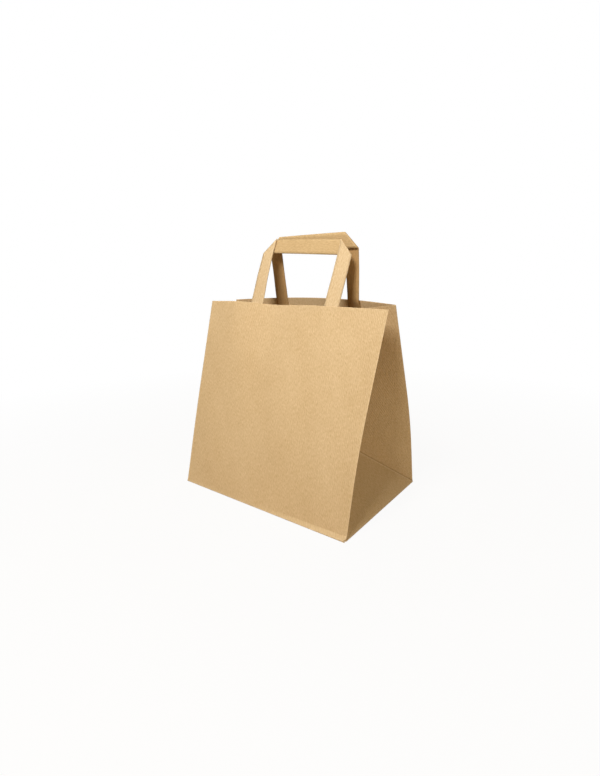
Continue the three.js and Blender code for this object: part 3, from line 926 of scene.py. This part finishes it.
# Colours for the rear handle's legs: a darker copy of the leg paper, painted shade where the front
# handle shades them.
SHADED_LEG_COLORS = (linear(164, 127, 78), linear(196, 158, 106))
BAR_COLORS = (linear(182, 149, 100), linear(213, 183, 136))
leg_paper = kraft_paper("tape_kraft_legs", LEG_COLORS, TAPE_RIBS, True, 21.0)
shaded_leg_paper = kraft_paper("tape_kraft_legs_painted_shade", SHADED_LEG_COLORS, TAPE_RIBS, True, 33.0)
bar_paper = kraft_paper("tape_kraft_bar", BAR_COLORS, TAPE_RIBS, False, 27.0)
plies_tree = ply_stack_tree()
for handle_name, handle in HANDLES.items():
    rise = handle["rise"]
    # The rear handle's legs get the darker copy of the leg paper, which is painted shade.
    legs = leg_paper if handle["panel"] is FRONT else shaded_leg_paper
    stretches = {
        "left_leg": (leg_edges(rise, -1), GLUE_GAP, legs),
        "right_leg": (leg_edges(rise, 1), GLUE_GAP, legs),
        "bar": (bar_edges(rise), GLUE_GAP + TAPE_THICKNESS, bar_paper),
    }
    for order, (stretch, (edges, low, paper)) in enumerate(stretches.items()):
        ply = tape_ply(f"{handle_name}_{stretch}_ply", *edges)
        flat, faces = stacked(ply, plies_tree, handle["seed"] * 10 + order, paper)
        flat[:, 2] += low
        laid = lay_on_panel(handle, flat, stretch == "bar")
        shift = np.array([TAPE_SHIFT[0], TAPE_SHIFT[1] * order])
        piece = add_piece(f"{handle_name}_{stretch}", laid, faces, flat[:, :2] + shift)
        facing_out(piece)
        piece.data.materials.append(paper)
        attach(piece, "root")
    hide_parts(handle_name)

# The patches.
# A piece of the same kraft is glued over the two legs of each handle, on the inside. It
# follows the panel and steps over the legs.

PATCH_WIDTH = 0.158
PATCH_HEIGHT = 0.044
PATCH_BELOW_RIM = 0.012
PATCH_PLY = 0.0003
PATCH_RAMP = 0.003
PATCH_ROWS = 20
PATCH_COLUMNS = 110
PATCH_SHIFT = 0.7
PATCH_COLORS = (linear(196, 157, 106), linear(226, 193, 146))
PATCH_RIBS = (0.0024, 0.5)

patch_paper = kraft_paper("patch_kraft", PATCH_COLORS, PATCH_RIBS, True, 41.0)
for handle_name, handle in HANDLES.items():
    u = np.linspace(-PATCH_WIDTH / 2, PATCH_WIDTH / 2, PATCH_COLUMNS + 1)
    v = np.linspace(-PATCH_BELOW_RIM - PATCH_HEIGHT, -PATCH_BELOW_RIM, PATCH_ROWS + 1)
    leg_outer, leg_inner = HANDLE_WIDTH / 2, HANDLE_WIDTH / 2 - STRIP_WIDTH
    outside = np.maximum(np.abs(u) - leg_outer - PATCH_RAMP, leg_inner - PATCH_RAMP - np.abs(u))
    over_leg = 1 - calm_near(np.maximum(outside, 0), PATCH_RAMP)
    flat_u, flat_v = np.meshgrid(u, v)
    low = GLUE_GAP + over_leg[None, :] * (TAPE_THICKNESS + GLUE_GAP) + 0 * flat_v
    x = handle["centre"] + flat_u
    near_face = inside_of(handle, x, flat_v, low)
    far_face = inside_of(handle, x, flat_v, low + PATCH_PLY)
    points = np.concatenate([near_face.reshape(-1, 3), far_face.reshape(-1, 3)])
    faces = slab_faces(PATCH_ROWS, PATCH_COLUMNS)
    uv = np.stack([flat_u, flat_v], axis=-1).reshape(-1, 2) + PATCH_SHIFT
    patch = add_piece(handle_name + "_patch_sheet", points, faces, np.concatenate([uv, uv]))
    facing_out(patch)
    patch.data.materials.append(patch_paper)
    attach(patch, "root")
    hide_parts(handle_name + "_patch")

# Floor, light and camera.
# A pale studio floor under the bag, a soft lamp high at the front, weaker ones from the
# side and from behind, and a dim warm light all round.

FLOOR_HALF = 4.0
BELOW = -0.0002
FLOOR_COLOR = (0.72, 0.64, 0.53, 1)
NEAR_GLOW = 0.93
GLOW_FROM, GLOW_TO = 0.25, 0.90
FILL_COLOR = (1.0, 0.83, 0.54, 1)
FILL_STRENGTH = 0.19

corners = [(-1, -1), (1, -1), (1, 1), (-1, 1)]
floor_mesh = bpy.data.meshes.new("floor")
floor_mesh.from_pydata(
    [(x * FLOOR_HALF, y * FLOOR_HALF, BELOW) for x, y in corners], [], [(0, 1, 2, 3)]
)
floor = bpy.data.objects.new("floor", floor_mesh)
bpy.context.scene.collection.objects.link(floor)
floor_paint = bpy.data.materials.new("floor_white")
floor_paint.use_nodes = True
floor_paint.node_tree.nodes.clear()
ground = Shade(floor_paint.node_tree, None)
matt = ground.node("ShaderNodeBsdfDiffuse", Color=FLOOR_COLOR)
glow = ground.node("ShaderNodeEmission", Color=WHITE, Strength=1.0)
ray = ground.out(ground.node("ShaderNodeLightPath"), 0)
spot = ground.out(ground.node("ShaderNodeTexCoord"), 3)
away = ground.out(ground.node("ShaderNodeVectorMath", {"operation": "LENGTH"}, in_0=spot), 1)
fade = ground.out(
    ground.node("ShaderNodeMapRange", Value=away, From_Min=GLOW_FROM, From_Max=GLOW_TO)
)
seen = ray * (fade * (1 - NEAR_GLOW) + NEAR_GLOW)
shown = ground.node("ShaderNodeMixShader", in_0=seen, in_1=ground.out(matt), in_2=ground.out(glow))
ground.node("ShaderNodeOutputMaterial", Surface=ground.out(shown))
floor_mesh.materials.append(floor_paint)
floor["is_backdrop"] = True

world = bpy.data.worlds.new("studio")
bpy.context.scene.world = world
world.use_nodes = True
world.node_tree.nodes.clear()
sky = Shade(world.node_tree, None)
ray = sky.out(sky.node("ShaderNodeLightPath"), 0)
fill = sky.node("ShaderNodeBackground", Color=FILL_COLOR, Strength=FILL_STRENGTH)
white = sky.node("ShaderNodeBackground", Color=WHITE, Strength=1.0)
shown = sky.node("ShaderNodeMixShader", in_0=ray, in_1=sky.out(fill), in_2=sky.out(white))
sky.node("ShaderNodeOutputWorld", Surface=sky.out(shown))

BAG_MIDDLE = Vector((0, 0, 0.15))


def soft_lamp(name, azimuth, elevation, distance, size, power, tint):
    """A square lamp aimed at the bag, placed by its direction seen from the bag."""
    lamp = bpy.data.lights.new(name, "AREA")
    lamp.energy = power
    lamp.color = tint
    lamp.size = size
    holder = bpy.data.objects.new(name, lamp)
    bpy.context.scene.collection.objects.link(holder)
    a, e = math.radians(azimuth), math.radians(elevation)
    toward = Vector((math.sin(a) * math.cos(e), -math.cos(a) * math.cos(e), math.sin(e)))
    holder.location = BAG_MIDDLE + toward * distance
    holder.rotation_mode = "QUATERNION"
    holder.rotation_quaternion = toward.to_track_quat("Z", "Y")


KEY_TINT, SIDE_TINT, BACK_TINT = (1.0, 1.0, 1.0), (1.0, 0.93, 0.80), (1.0, 0.95, 0.86)
soft_lamp("key", azimuth=9, elevation=51, distance=0.90, size=0.27, power=6.75, tint=KEY_TINT)
soft_lamp("side", azimuth=66, elevation=37, distance=1.0, size=0.5, power=1.4, tint=SIDE_TINT)
soft_lamp("back", azimuth=205, elevation=42, distance=1.1, size=0.6, power=3.4, tint=BACK_TINT)

CAMERA_AZIMUTH = math.radians(37.36)
CAMERA_ELEVATION = math.radians(13.64)
CAMERA_ROLL = math.radians(-0.91)
CAMERA_PLACE = Vector((0.3425, -0.4425, 0.2702))
FOCAL_PIXELS = 433.7
PICTURE_HEIGHT = 776
SENSOR = 36.0
camera = bpy.data.cameras.new("camera")
camera.sensor_width = SENSOR
camera.lens = FOCAL_PIXELS / PICTURE_HEIGHT * SENSOR
camera.clip_start = 0.01
viewer = bpy.data.objects.new("camera", camera)
bpy.context.scene.collection.objects.link(viewer)
back = Vector(
    (
        math.sin(CAMERA_AZIMUTH) * math.cos(CAMERA_ELEVATION),
        -math.cos(CAMERA_AZIMUTH) * math.cos(CAMERA_ELEVATION),
        math.sin(CAMERA_ELEVATION),
    )
)
level = Vector((math.cos(CAMERA_AZIMUTH), math.sin(CAMERA_AZIMUTH), 0))
upward = back.cross(level)
right = level * math.cos(CAMERA_ROLL) + upward * math.sin(CAMERA_ROLL)
above = upward * math.cos(CAMERA_ROLL) - level * math.sin(CAMERA_ROLL)
turned = Matrix((right, above, back)).transposed().to_4x4()
viewer.matrix_world = Matrix.Translation(CAMERA_PLACE) @ turned
bpy.context.scene.camera = viewer
bpy.context.scene.view_settings.view_transform = "Standard"

low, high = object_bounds()
